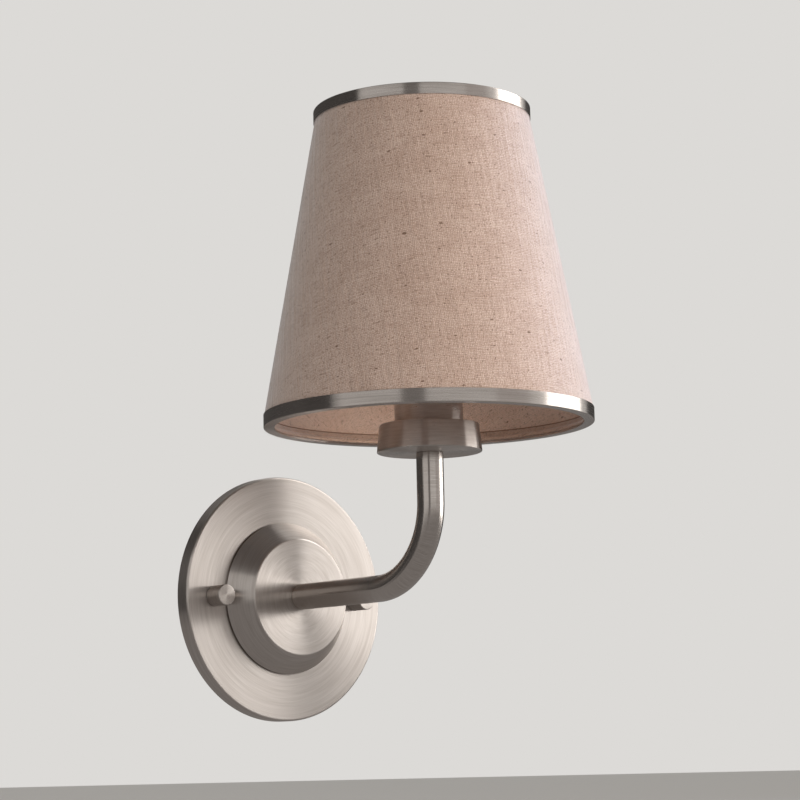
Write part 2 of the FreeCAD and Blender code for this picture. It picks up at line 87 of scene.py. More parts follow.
def zinc_plated_steel():
    """Bright zinc on steel: a metal with cloudy patches in its colour and gloss."""
    material, shader = new_finish("zinc_plated_steel")
    place = add(material, "TexCoord", {}).outputs["Object"]
    cloud = add(material, "TexNoise", {"Vector": place, "Scale": 1 / ZINC_CLOUD, "Detail": 3.0})
    share = add(material, "MapRange", {"Value": cloud.outputs["Fac"], "From Min": 0.35, "From Max": 0.65})
    colour = add(material, "Mix", {0: share.outputs["Result"], 6: linear(ZINC_CLOUD_COLOUR),
                                   7: linear(ZINC_COLOUR)}, data_type="RGBA")
    gloss = add(material, "MapRange", {"Value": share.outputs["Result"], "To Min": 0.42, "To Max": 0.28})
    fill(shader, {"Base Color": colour.outputs[2], "Roughness": gloss.outputs["Result"], "Metallic": 1.0})
    return material


def finish_nodes(material, *nodes):
    """Gives carried-over nodes a material."""
    for node in nodes:
        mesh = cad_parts[node].data
        mesh.materials.clear()
        mesh.materials.append(material)


finish_nodes(zinc_plated_steel(), "mounting_plate", "plate_studs", "stud_lock_nuts", "boss_screws",
             "arm_nipple", "nipple_washer", "nipple_nut", "top_nipple", "cup_nut", "socket_bracket",
             "socket_screw")

# ---- Earthing screw ----------------------------------------------------------
# A steel screw dyed green, threaded into the mounting plate.
# The dye is a thin film over bright metal, so it keeps a metal's gloss.

DYE_COLOUR = "#2F7A4A"
DYE_WEAR = 0.8 * MM


def green_dyed_steel():
    """Green dye over bright steel, worn unevenly so that its gloss varies."""
    material, shader = new_finish("green_dyed_steel")
    place = add(material, "TexCoord", {}).outputs["Object"]
    wear = add(material, "TexNoise", {"Vector": place, "Scale": 1 / DYE_WEAR, "Detail": 2.0})
    gloss = add(material, "MapRange", {"Value": wear.outputs["Fac"], "To Min": 0.2, "To Max": 0.5})
    fill(shader, {"Base Color": linear(DYE_COLOUR), "Metallic": 0.7, "Roughness": gloss.outputs["Result"]})
    return material


finish_nodes(green_dyed_steel(), "ground_screw")

# ---- Backplate ---------------------------------------------------------------
# A round pan pressed from sheet metal, open towards the wall, with its front edge rounded over.
# Its face is brushed on a lathe, so fine rings run round it, under satin nickel plate.

PLATE_LOW, PLATE_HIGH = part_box("backplate")
PLATE_R = PLATE_HIGH.x
PLATE_DEPTH = -PLATE_LOW.y
PLATE_WALL = 1.5 * MM
PLATE_EDGE = 1.1 * MM
PLATE_HEM = 0.4 * MM
WIRING_HOLE_R = 26.0 * MM
PLATE_SIDES = 256
ROUND_STEPS = 5
FULL_TURN = 2 * math.pi
OFF_WALL = Matrix.Rotation(math.radians(90), 4, "X")
WALL_AXIS = Vector((0, -1, 0))
# Real brush lines are about 0.05 mm wide, too fine to show in the render, so they are drawn coarser.
BRUSH_LINE = 0.22 * MM
BRUSH_BAND = 1.4 * MM
BRUSH_DEPTH = 0.01 * MM
NICKEL_COLOUR = "#CDC6C1"
NICKEL_STREAK_COLOUR = "#B9B1AB"


def satin_nickel(name, axis, centre, rough, anisotropy):
    """Satin nickel brushed round an axis. Each brush line spreads a reflection across itself,
    which gives fans of light on a face and upright bands on a rim."""
    material, shader = new_finish(name)
    place = add(material, "TexCoord", {}).outputs["Object"]
    from_centre = add(material, "VectorMath", {0: place, 1: centre}, operation="SUBTRACT").outputs[0]
    height = add(material, "VectorMath", {0: from_centre, 1: axis}, operation="DOT_PRODUCT").outputs["Value"]
    along = add(material, "VectorMath", {0: axis, 3: height}, operation="SCALE").outputs[0]
    outward = add(material, "VectorMath", {0: from_centre, 1: along}, operation="SUBTRACT").outputs[0]
    radius = add(material, "VectorMath", {0: outward}, operation="LENGTH").outputs["Value"]
    spoke = add(material, "VectorMath", {0: outward}, operation="NORMALIZE").outputs[0]
    across = add(material, "Math", {0: radius, 1: height}, operation="SUBTRACT").outputs[0]

    def brush(width, turns):
        """Noise drawn out into lines of this width, with a few starts and ends in a turn."""
        lines = add(material, "Math", {0: across, 1: 1 / width}, operation="MULTIPLY").outputs[0]
        lines = add(material, "VectorMath", {0: axis, 3: lines}, operation="SCALE").outputs[0]
        round_ = add(material, "VectorMath", {0: spoke, 3: turns}, operation="SCALE").outputs[0]
        spot = add(material, "VectorMath", {0: lines, 1: round_}, operation="ADD").outputs[0]
        return add(material, "TexNoise", {"Vector": spot, "Scale": 1.0, "Detail": 2.0}).outputs["Fac"]

    fine = brush(BRUSH_LINE, 3.0)
    band = brush(BRUSH_BAND, 1.5)
    tone = add(material, "Mix", {0: 0.5, 2: fine, 3: band}).outputs[0]
    share = add(material, "MapRange", {"Value": tone, "From Min": 0.35, "From Max": 0.65}).outputs[0]
    colour = add(material, "Mix", {0: share, 6: linear(NICKEL_STREAK_COLOUR), 7: linear(NICKEL_COLOUR)},
                 data_type="RGBA").outputs[2]
    gloss = add(material, "MapRange", {"Value": share, "To Min": rough + 0.03, "To Max": rough - 0.02})
    bump = add(material, "Bump", {"Height": fine, "Strength": 0.06, "Distance": BRUSH_DEPTH})
    round_way = add(material, "VectorMath", {0: axis, 1: spoke}, operation="CROSS_PRODUCT").outputs[0]
    round_way = add(material, "VectorTransform", {0: round_way}, vector_type="VECTOR",
                    convert_from="OBJECT", convert_to="WORLD").outputs[0]
    facing = add(material, "NewGeometry", {}).outputs["Normal"]
    spread = add(material, "VectorMath", {0: facing, 1: round_way}, operation="CROSS_PRODUCT").outputs[0]
    fill(shader, {"Base Color": colour, "Metallic": 1.0, "Roughness": gloss.outputs[0],
                  "Anisotropic": anisotropy, "Tangent": spread, "Normal": bump.outputs[0]})
    return material


def turned(outline, sides, place):
    """A mesh spun from (radius, height, rounding) corners about +Z, then put in place."""
    bm = bmesh.new()
    corners = [bm.verts.new((radius, 0, height)) for radius, height, _ in outline]
    bm.faces.new(corners)
    for corner, (_, _, rounding) in zip(corners, outline):
        if rounding:
            bmesh.ops.bevel(bm, geom=[corner], offset=rounding, segments=ROUND_STEPS, profile=0.5,
                            affect="VERTICES", material=-1)
    bmesh.ops.delete(bm, geom=bm.faces[:], context="FACES_ONLY")
    bmesh.ops.spin(bm, geom=bm.verts[:] + bm.edges[:], cent=(0, 0, 0), axis=(0, 0, 1),
                   angle=FULL_TURN, steps=sides, use_merge=True)
    bmesh.ops.remove_doubles(bm, verts=bm.verts[:], dist=0.001 * MM)
    bmesh.ops.recalc_face_normals(bm, faces=bm.faces[:])
    bmesh.ops.transform(bm, matrix=place, verts=bm.verts[:])
    return bm


def placed(name, bm, material):
    """Puts a bmesh in the scene as an object of one material."""
    mesh = bpy.data.meshes.new(name)
    bm.to_mesh(mesh)
    bm.free()
    mesh.materials.append(material)
    thing = bpy.data.objects.new(name, mesh)
    bpy.context.scene.collection.objects.link(thing)
    return thing


def piece(name, bm, material, body):
    """Makes a finished piece from a bmesh: smooth faces, its material and its body."""
    thing = placed(name, bm, material)
    thing.data.shade_smooth()
    thing.modifiers.new("even_faces", "WEIGHTED_NORMAL").keep_sharp = True
    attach(thing, body)
    return thing


WALL_CENTRE = Vector((0, 0, 0))
face_nickel = satin_nickel("satin_nickel_lathe_brushed", WALL_AXIS, WALL_CENTRE, rough=0.30, anisotropy=0.92)
pan = turned([
    (WIRING_HOLE_R, PLATE_DEPTH - PLATE_WALL, 0), (PLATE_R - PLATE_WALL, PLATE_DEPTH - PLATE_WALL, 0),
    (PLATE_R - PLATE_WALL, 0, PLATE_HEM), (PLATE_R, 0, PLATE_HEM),
    (PLATE_R, PLATE_DEPTH, PLATE_EDGE), (WIRING_HOLE_R, PLATE_DEPTH, 0)], PLATE_SIDES, OFF_WALL)
backplate_pan = piece("backplate_pan", pan, face_nickel, "root")
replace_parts(backplate_pan, "backplate")

# ---- Boss --------------------------------------------------------------------
# A cast cone with a flat face, screwed to the pan from behind. It stands on a narrow foot,
# which leaves the dark line round its base. It is turned, brushed and plated like the pan.

BOSS_LOW, BOSS_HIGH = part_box("boss")
BOSS_BASE_R = BOSS_HIGH.x
BOSS_FOOT = -BOSS_HIGH.y
BOSS_FACE = -BOSS_LOW.y
BOSS_FOOT_R = 36.4 * MM
BOSS_FOOT_HEIGHT = 0.9 * MM
BOSS_FACE_R = 28.6 * MM
BOSS_FACE_EDGE = 0.55 * MM
BOSS_BASE_EDGE = 0.2 * MM
BOSS_FACE_WALL = 2.5 * MM
BOSS_CAVITY_R = 23.5 * MM
ARM_HOLE_R = 4.9 * MM
BOSS_SIDES = 224

cone = turned([
    (WIRING_HOLE_R, BOSS_FOOT, 0), (BOSS_FOOT_R, BOSS_FOOT, 0),
    (BOSS_FOOT_R, BOSS_FOOT + BOSS_FOOT_HEIGHT, 0),
    (BOSS_BASE_R, BOSS_FOOT + BOSS_FOOT_HEIGHT, BOSS_BASE_EDGE),
    (BOSS_FACE_R, BOSS_FACE, BOSS_FACE_EDGE), (ARM_HOLE_R, BOSS_FACE, 0),
    (ARM_HOLE_R, BOSS_FACE - BOSS_FACE_WALL, 0), (BOSS_CAVITY_R, BOSS_FACE - BOSS_FACE_WALL, 0)],
    BOSS_SIDES, OFF_WALL)
boss_cone = piece("boss_cone", cone, face_nickel, "root")
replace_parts(boss_cone, "boss")

# ---- Thumb nuts and their washers ---------------------------------------------
# Two plain round nuts, turned from bar, that pull the pan to the wall by its studs.
# Each has a softened rim, a brushed end and a thin nylon washer under it.

NUT_RIM = 0.45 * MM
NUT_BORE_R = 2.1 * MM
NUT_BORE_DEPTH = 8.2 * MM
NUT_SIDES = 72
NYLON_COLOUR = "#DEDCD3"
NYLON_HAZE = 1.0 * MM
NYLON_DEPTH = 0.5 * MM


def natural_nylon():
    """Milky nylon: light enters a little way before it comes back."""
    material, shader = new_finish("natural_nylon")
    place = add(material, "TexCoord", {}).outputs["Object"]
    haze = add(material, "TexNoise", {"Vector": place, "Scale": 1 / NYLON_HAZE})
    gloss = add(material, "MapRange", {"Value": haze.outputs["Fac"], "To Min": 0.4, "To Max": 0.55})
    fill(shader, {"Base Color": linear(NYLON_COLOUR), "Roughness": gloss.outputs[0],
                  "Subsurface Weight": 0.3, "Subsurface Scale": NYLON_DEPTH})
    return material


finish_nodes(natural_nylon(), "nut_washer_left", "nut_washer_right")
for side in ("left", "right"):
    low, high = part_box("thumb_nut_" + side)
    nut_x = (low.x + high.x) / 2
    nut_r = (high.x - low.x) / 2
    bottom, top = -high.y, -low.y
    nut_centre = Vector((nut_x, 0, 0))
    nickel = satin_nickel("satin_nickel_nut_" + side, WALL_AXIS, nut_centre, rough=0.30, anisotropy=0.6)
    nut = turned([
        (0, top, 0), (0, bottom + NUT_BORE_DEPTH, 0), (NUT_BORE_R, bottom + NUT_BORE_DEPTH, 0),
        (NUT_BORE_R, bottom, 0), (nut_r, bottom, 0), (nut_r, top, NUT_RIM)],
        NUT_SIDES, Matrix.Translation(nut_centre) @ OFF_WALL)
    thumb_nut = piece("thumb_nut_turned_" + side, nut, nickel, "nut_" + side)
    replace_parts(thumb_nut, "thumb_nut_" + side)

# ---- Arm ---------------------------------------------------------------------
# Half-inch tube, bent once on a wide former and screwed onto a threaded pipe at each end.
# A belt has brushed it round before plating.

ARM_LOW, ARM_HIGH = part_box("arm_tube")
ARM_R = ARM_HIGH.x
ARM_REACH = -ARM_LOW.y - ARM_R
ARM_START = -ARM_HIGH.y
ARM_TOP = ARM_HIGH.z
ARM_BEND_R = 38.0 * MM
ARM_END_EDGE = 0.3 * MM
ARM_SIDES = 64
ARM_BEND_STEPS = 40
BEND_START = ARM_REACH - ARM_BEND_R
NIPPLE_R = 4.87 * MM


def brushed_tube():
    """Satin nickel on a bent tube: the belt's fine lines ring the tube, so each reflection is drawn
    out along it, with sharp edges across."""
    material, shader = new_finish("satin_nickel_tube")
    place = add(material, "TexCoord", {}).outputs["Object"]

    bend_centre = (0, -BEND_START, ARM_BEND_R)
    from_bend = add(material, "VectorMath", {0: place, 1: bend_centre}, operation="SUBTRACT").outputs[0]
    side, over, up = add(material, "SeparateXYZ", {0: from_bend}).outputs
    out = add(material, "Math", {0: over, 1: 0.0}, operation="MINIMUM").outputs[0]
    down = add(material, "Math", {0: up, 1: 0.0}, operation="MINIMUM").outputs[0]
    away = add(material, "Math", {0: out, 1: -1.0}, operation="MULTIPLY").outputs[0]
    below = add(material, "Math", {0: down, 1: -1.0}, operation="MULTIPLY").outputs[0]
    turn = add(material, "Math", {0: away, 1: below}, operation="ARCTAN2").outputs[0]
    level_run = add(material, "Math", {0: over, 1: 0.0}, operation="MAXIMUM").outputs[0]
    rise = add(material, "Math", {0: up, 1: 0.0}, operation="MAXIMUM").outputs[0]
    rest = add(material, "Math", {0: rise, 1: level_run}, operation="SUBTRACT").outputs[0]
    along = add(material, "Math", {0: turn, 1: ARM_BEND_R, 2: rest}, operation="MULTIPLY_ADD").outputs[0]
    lengthways = add(material, "Math", {0: along, 1: 1 / BRUSH_LINE}, operation="MULTIPLY").outputs[0]
    sideways = add(material, "Math", {0: side, 1: 1 / ARM_R}, operation="MULTIPLY").outputs[0]
    spot = add(material, "CombineXYZ", {"X": lengthways, "Y": sideways})
    lines = add(material, "TexNoise", {"Vector": spot.outputs[0], "Scale": 1.0, "Detail": 2.0}).outputs[0]
    share = add(material, "MapRange", {"Value": lines, "From Min": 0.35, "From Max": 0.65}).outputs[0]
    colour = add(material, "Mix", {0: share, 6: linear(NICKEL_STREAK_COLOUR), 7: linear(NICKEL_COLOUR)},
                 data_type="RGBA").outputs[2]
    gloss = add(material, "MapRange", {"Value": share, "To Min": 0.20, "To Max": 0.16})
    bump = add(material, "Bump", {"Height": lines, "Strength": 0.05, "Distance": BRUSH_DEPTH})
    ray = add(material, "CombineXYZ", {"Y": out, "Z": down}).outputs[0]
    ahead = add(material, "VectorMath", {0: (1, 0, 0), 1: ray}, operation="CROSS_PRODUCT").outputs[0]
    ahead = add(material, "VectorTransform", {0: ahead}, vector_type="VECTOR", convert_from="OBJECT",
                convert_to="WORLD").outputs[0]
    ahead = add(material, "VectorMath", {0: ahead}, operation="NORMALIZE").outputs[0]
    fill(shader, {"Base Color": colour, "Metallic": 1.0, "Roughness": gloss.outputs[0],
                  "Anisotropic": 0.8, "Tangent": ahead, "Normal": bump.outputs[0]})
    return material


def bent_tube():
    """A ring drawn out along Y, spun through the bend and drawn up along Z."""
    bm = bmesh.new()
    bmesh.ops.create_circle(bm, cap_ends=False, segments=ARM_SIDES, radius=NIPPLE_R,
                            matrix=Matrix.Translation((0, -ARM_START, 0)) @ OFF_WALL)
    ring = bm.edges[:]

    def drawn(ring, step, scale, hub):
        """Extrudes a ring of edges by a step and scales its new end about a hub."""
        made = bmesh.ops.extrude_edge_only(bm, edges=ring)["geom"]
        points = [g for g in made if isinstance(g, bmesh.types.BMVert)]
        bmesh.ops.translate(bm, vec=step, verts=points)
        bmesh.ops.scale(bm, vec=(scale, scale, scale), space=Matrix.Translation(-hub), verts=points)
        return [g for g in made if isinstance(g, bmesh.types.BMEdge)]

    start = Vector((0, -ARM_START, 0))
    ring = drawn(ring, (0, 0, 0), (ARM_R - ARM_END_EDGE) / NIPPLE_R, start)
    edge = Vector((0, -ARM_END_EDGE, 0))
    ring = drawn(ring, edge, ARM_R / (ARM_R - ARM_END_EDGE), start + edge)
    ring = drawn(ring, (0, -(BEND_START - ARM_START - ARM_END_EDGE), 0), 1, start)
    spun = bmesh.ops.spin(bm, geom=ring, cent=(0, -BEND_START, ARM_BEND_R), axis=(-1, 0, 0),
                          angle=FULL_TURN / 4, steps=ARM_BEND_STEPS)["geom_last"]
    ring = [g for g in spun if isinstance(g, bmesh.types.BMEdge)]
    ring = drawn(ring, (0, 0, ARM_TOP - ARM_END_EDGE - ARM_BEND_R), 1, start)
    top = Vector((0, -ARM_REACH, ARM_TOP))
    ring = drawn(ring, (0, 0, ARM_END_EDGE), (ARM_R - ARM_END_EDGE) / ARM_R, top)
    drawn(ring, (0, 0, 0), NIPPLE_R / (ARM_R - ARM_END_EDGE), top)
    bmesh.ops.recalc_face_normals(bm, faces=bm.faces[:])
    return bm


arm = piece("arm_bent_tube", bent_tube(), brushed_tube(), "root")
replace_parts(arm, "arm_tube")

# ---- Cup and socket cover ------------------------------------------------------
# A shallow cup turned from bar, a little wider at its floor, with a plain tube standing in it.
# Both are brushed round on the lathe and plated, so their reflections stand as upright bands.

CUP_LOW, CUP_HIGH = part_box("cup")
LAMP_AXIS = Matrix.Translation((0, -ARM_REACH, 0))
LAMP_CENTRE = Vector((0, -ARM_REACH, 0))
UP = Vector((0, 0, 1))
CUP_BOTTOM_R = CUP_HIGH.x
CUP_TAPER = 1.3 * MM
CUP_TOP_R = CUP_BOTTOM_R - CUP_TAPER
CUP_WALL = 1.2 * MM
CUP_FLOOR = 1.5 * MM
CUP_LOWER_EDGE = 0.6 * MM
CUP_UPPER_EDGE = 0.35 * MM
CUP_SIDES = 144
COVER_LOW, COVER_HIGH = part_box("socket_cover")
COVER_R = COVER_HIGH.x
COVER_WALL = 0.8 * MM
COVER_EDGE = 0.2 * MM
COVER_SIDES = 112

lamp_nickel = satin_nickel("satin_nickel_turned", UP, LAMP_CENTRE, rough=0.29, anisotropy=1.0)
bowl = turned([
    (NIPPLE_R, CUP_LOW.z, 0), (CUP_BOTTOM_R, CUP_LOW.z, CUP_LOWER_EDGE),
    (CUP_TOP_R, CUP_HIGH.z, CUP_UPPER_EDGE), (CUP_TOP_R - CUP_WALL, CUP_HIGH.z, CUP_UPPER_EDGE),
    (CUP_BOTTOM_R - CUP_WALL, CUP_LOW.z + CUP_FLOOR, 0), (NIPPLE_R, CUP_LOW.z + CUP_FLOOR, 0)],
    CUP_SIDES, LAMP_AXIS)
cup = piece("cup_turned", bowl, lamp_nickel, "root")
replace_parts(cup, "cup")
sleeve = turned([
    (COVER_R, COVER_LOW.z, 0), (COVER_R, COVER_HIGH.z, COVER_EDGE),
    (COVER_R - COVER_WALL, COVER_HIGH.z, COVER_EDGE), (COVER_R - COVER_WALL, COVER_LOW.z, 0)],
    COVER_SIDES, LAMP_AXIS)
cover = piece("socket_cover_tube", sleeve, lamp_nickel, "root")
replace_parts(cover, "socket_cover")

# ---- Lampholder --------------------------------------------------------------
# A black phenolic candelabra holder with a stamped brass shell and centre spring,
# held through its floor, and the moulded ring and fibre washer that clamp the shade.

PHENOLIC_COLOUR = "#1D1B1A"
FLOW_MARK = 2.5 * MM
FLOW_DEPTH = 0.02 * MM
BRASS_COLOUR = "#C9A45C"
BRASS_DULL_COLOUR = "#A5813F"
BRASS_PATCH = 1.5 * MM
FIBRE_COLOUR = "#5B3A26"
FIBRE = 0.5 * MM
FIBRE_DEPTH = 0.03 * MM


def black_phenolic():
    """Moulded phenolic: near black, semi-gloss, with faint flow marks."""
    material, shader = new_finish("black_phenolic")
    place = add(material, "TexCoord", {}).outputs["Object"]
    flow = add(material, "TexNoise", {"Vector": place, "Scale": 1 / FLOW_MARK, "Detail": 3.0,
                                      "Distortion": 0.6})
    gloss = add(material, "MapRange", {"Value": flow.outputs[0], "To Min": 0.25, "To Max": 0.5})
    bump = add(material, "Bump", {"Height": flow.outputs[0], "Strength": 0.15, "Distance": FLOW_DEPTH})
    fill(shader, {"Base Color": linear(PHENOLIC_COLOUR), "Roughness": gloss.outputs[0],
                  "Normal": bump.outputs[0]})
    return material


def stamped_brass():
    """Bare brass, a little dulled by handling."""
    material, shader = new_finish("stamped_brass")
    place = add(material, "TexCoord", {}).outputs["Object"]
    dull = add(material, "TexNoise", {"Vector": place, "Scale": 1 / BRASS_PATCH, "Detail": 2.0})
    share = add(material, "MapRange", {"Value": dull.outputs[0], "From Min": 0.4, "From Max": 0.6})
    colour = add(material, "Mix", {0: share.outputs[0], 6: linear(BRASS_COLOUR),
                                   7: linear(BRASS_DULL_COLOUR)}, data_type="RGBA")
    gloss = add(material, "MapRange", {"Value": share.outputs[0], "To Min": 0.22, "To Max": 0.4})
    fill(shader, {"Base Color": colour.outputs[2], "Metallic": 1.0, "Roughness": gloss.outputs[0]})
    return material


def vulcanised_fibre():
    """Hard brown fibre board with short, pressed fibres."""
    material, shader = new_finish("vulcanised_fibre")
    place = add(material, "TexCoord", {}).outputs["Object"]
    fibres = add(material, "TexNoise", {"Vector": place, "Scale": 1 / FIBRE, "Detail": 4.0})
    bump = add(material, "Bump", {"Height": fibres.outputs[0], "Strength": 0.3, "Distance": FIBRE_DEPTH})
    fill(shader, {"Base Color": linear(FIBRE_COLOUR), "Roughness": 0.7, "Normal": bump.outputs[0]})
    return material


finish_nodes(black_phenolic(), "socket_body", "shade_ring")
finish_nodes(stamped_brass(), "screw_shell", "centre_contact")
finish_nodes(vulcanised_fibre(), "ring_washer")

# ---- Shade frame --------------------------------------------------------------
# Three bent steel wires brazed to a flat fitter ring, and a wire ring at the top and bottom
# that the cloth is glued to. The frame is dip coated in off-white paint.

FRAME_COLOUR = "#DAD8D2"
PAINT_RIPPLE = 1.2 * MM
PAINT_DEPTH = 0.05 * MM


def coated_wire():
    """Off-white dip coat: semi-gloss, with slight runs."""
    material, shader = new_finish("coated_wire")
    place = add(material, "TexCoord", {}).outputs["Object"]
    runs = add(material, "TexNoise", {"Vector": place, "Scale": 1 / PAINT_RIPPLE, "Detail": 1.0})
    gloss = add(material, "MapRange", {"Value": runs.outputs[0], "To Min": 0.3, "To Max": 0.5})
    bump = add(material, "Bump", {"Height": runs.outputs[0], "Strength": 0.2, "Distance": PAINT_DEPTH})
    fill(shader, {"Base Color": linear(FRAME_COLOUR), "Roughness": gloss.outputs[0],
                  "Normal": bump.outputs[0]})
    return material


finish_nodes(coated_wire(), "fitter_ring", "spoke_wires", "top_wire_ring", "bottom_wire_ring")

# ---- Linen cover and lining ----------------------------------------------------
# A fan-shaped piece of plain-woven natural linen, laminated to a stiff lining and rolled into
# a cone with its lap towards the wall. Slubs, stray dark fibres and a slight pucker show in it.

BOTTOM_RING_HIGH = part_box("bottom_trim_ring")[1]
TOP_RING_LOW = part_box("top_trim_ring")[0]
CLOTH_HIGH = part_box("shade_fabric")[1]
LINING_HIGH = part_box("shade_lining")[1]
TOP_CLOTH_R = 51.05 * MM
CLOTH_WALL = 0.5 * MM
LINING_WALL = 0.45 * MM
CLOTH_STEPS = 288
CLOTH_ROWS = 40
PUCKER = 0.10 * MM
PUCKERS_ROUND = 9
PUCKER_HEIGHT = 60 * MM
WEAVE_DEPTH = 0.12 * MM
# The patterns' sizes are in millimetres on the cut cloth. The real yarn is 0.4 wide, too fine to
# show in the render, so it is drawn twice as wide.
THREAD = 0.8
THREAD_DRIFT = 7.0
WEFT_RUN = 9.0
WARP_RUN = 6.0
CLOUD = 22.0
PORE = 0.75
DASH = 0.8
DASH_RUN = 5.0
SPECK = 0.7
SPECK_RUN = 1.0
FLECK = 0.5
FLECK_SPACING = 9.0
RIPPLE = 2.6
RIPPLE_RUN = 45.0
RIPPLE_HEIGHT = 4.0
CLOUD_SHARE = 0.3
# How far the gaps between the yarn crossings are darkened: painted shade.
GAP_PAINTED_SHADE_DEPTH = 0.3
PORE_DEPTH = 0.35
DASH_DEPTH = 0.5
SPECK_DEPTH = 0.7
FLECK_DEPTH = 0.8
LINEN_COLOUR = "#CCBAAE"
LINEN_SHADE_COLOUR = "#B19C8E"
FLECK_AND_PAINTED_SHADE_COLOUR = "#5E4636"
# The lining's colour is its own warm tan, made lighter and pinker with painted light: the glow of light that
# comes through the linen and bounces round inside the shade.
LINING_PAINTED_GLOW_COLOUR = "#EBCFBA"
LINING_PAINTED_GLOW_DARK_COLOUR = "#DBB79F"
slope = math.atan2(CLOTH_HIGH.x - TOP_CLOTH_R, TOP_RING_LOW.z - BOTTOM_RING_HIGH.z)


def woven_linen(name, colour, shade_colour):
    """Plain weave on the cut cloth's own coordinates, which are in millimetres. Warp and weft each
    have their own tone, so the eye gets a fine check, short dashes, pores and brown flecks, and
    painted shade darkens the gaps between the yarn crossings."""
    material, shader = new_finish(name)

    cut = add(material, "UVMap", {}, uv_map="cut").outputs[0]
    drift = add(material, "TexNoise", {"Vector": cut, "Scale": 1 / THREAD_DRIFT, "Detail": 4.0,
                                       "Roughness": 0.65}, noise_dimensions="2D")
    sway = (2 * THREAD, 2 * THREAD, 0)
    cut = add(material, "VectorMath", {0: drift.outputs["Color"], 1: sway, 2: cut},
              operation="MULTIPLY_ADD").outputs[0]

    def streaks(width, height):
        """Noise stretched to these sizes in millimetres."""
        spot = add(material, "VectorMath", {0: cut, 1: (1 / width, 1 / height, 0)}, operation="MULTIPLY")
        return add(material, "TexNoise", {"Vector": spot.outputs[0], "Scale": 1.0},
                   noise_dimensions="2D").outputs[0]

    turn = add(material, "VectorMath", {0: cut, 1: (math.pi / THREAD, math.pi / THREAD, 0)},
               operation="MULTIPLY")
    wave = add(material, "VectorMath", {0: turn.outputs[0]}, operation="SINE").outputs[0]
    wave = add(material, "SeparateXYZ", {0: wave}).outputs
    crossing = add(material, "Math", {0: wave["X"], 1: wave["Y"]}, operation="MULTIPLY").outputs[0]
    crown = add(material, "Math", {0: crossing, 1: crossing}, operation="MULTIPLY").outputs[0]
    on_top = add(material, "MapRange", {"Value": crossing, "From Min": -0.5, "From Max": 0.5}).outputs[0]
    weft = streaks(WEFT_RUN, THREAD)
    warp = streaks(THREAD, WARP_RUN)
    yarn = add(material, "Mix", {0: on_top, 2: weft, 3: warp}).outputs[0]
    cloud = streaks(CLOUD, CLOUD / 2)
    yarn_tone = add(material, "MapRange", {"Value": yarn, "From Min": 0.3, "From Max": 0.7}).outputs[0]
    cloud_tone = add(material, "MapRange", {"Value": cloud, "From Min": 0.3, "From Max": 0.7}).outputs[0]
    tone = add(material, "Mix", {0: CLOUD_SHARE, 2: yarn_tone, 3: cloud_tone}).outputs[0]
    base = add(material, "Mix", {0: tone, 6: linear(shade_colour), 7: linear(colour)},
               data_type="RGBA").outputs[2]
    lean = add(material, "VectorMath", {0: cut, 1: (0.5, 1, 0)}, operation="MULTIPLY").outputs[0]
    cells = add(material, "TexVoronoi", {"Vector": lean, "Scale": 1 / FLECK_SPACING},
                voronoi_dimensions="2D").outputs
    chance = add(material, "SeparateXYZ", {0: cells["Color"]}).outputs["X"]
    fleck_r = add(material, "MapRange", {"Value": chance, "From Min": 0.4, "From Max": 1.0,
                                         "To Max": FLECK / FLECK_SPACING}).outputs[0]
    fleck = add(material, "Math", {0: cells["Distance"], 1: fleck_r}, operation="LESS_THAN").outputs[0]
    # The gaps between the yarn crossings are darkened towards the fleck colour: painted shade. The pores,
    # dashes, specks and flecks are dark marks spread at random.
    for pattern, first, full, depth in (
            (crown, 0.5, 0.0, GAP_PAINTED_SHADE_DEPTH), (streaks(PORE, PORE), 0.58, 0.70, PORE_DEPTH),
            (streaks(DASH_RUN, DASH), 0.66, 0.76, DASH_DEPTH),
            (streaks(SPECK_RUN, SPECK), 0.64, 0.72, SPECK_DEPTH), (fleck, 0.0, 1.0, FLECK_DEPTH)):
        amount = add(material, "MapRange", {"Value": pattern, "From Min": first, "From Max": full,
                                            "To Max": depth}).outputs[0]
        base = add(material, "Mix", {0: amount, 6: base, 7: linear(FLECK_AND_PAINTED_SHADE_COLOUR)},
                   data_type="RGBA").outputs[2]
    ripple = streaks(RIPPLE, RIPPLE_RUN)
    height = add(material, "Math", {0: crown, 1: yarn}, operation="ADD").outputs[0]
    height = add(material, "Math", {0: ripple, 1: RIPPLE_HEIGHT, 2: height},
                 operation="MULTIPLY_ADD").outputs[0]
    bump = add(material, "Bump", {"Height": height, "Strength": 0.8, "Distance": WEAVE_DEPTH})
    fill(shader, {"Base Color": base, "Roughness": 0.85, "Specular IOR Level": 0.25,
                  "Sheen Weight": 0.8, "Sheen Roughness": 0.35, "Normal": bump.outputs[0]})
    return material


def pucker(point):
    """How far the glued cloth stands in or out at a point: long upright ripples."""
    turn = math.atan2(point.x, -(point.y + ARM_REACH))
    spot = Vector((PUCKERS_ROUND * math.cos(turn), PUCKERS_ROUND * math.sin(turn),
                   point.z / PUCKER_HEIGHT))
    return PUCKER * noise.noise(spot)


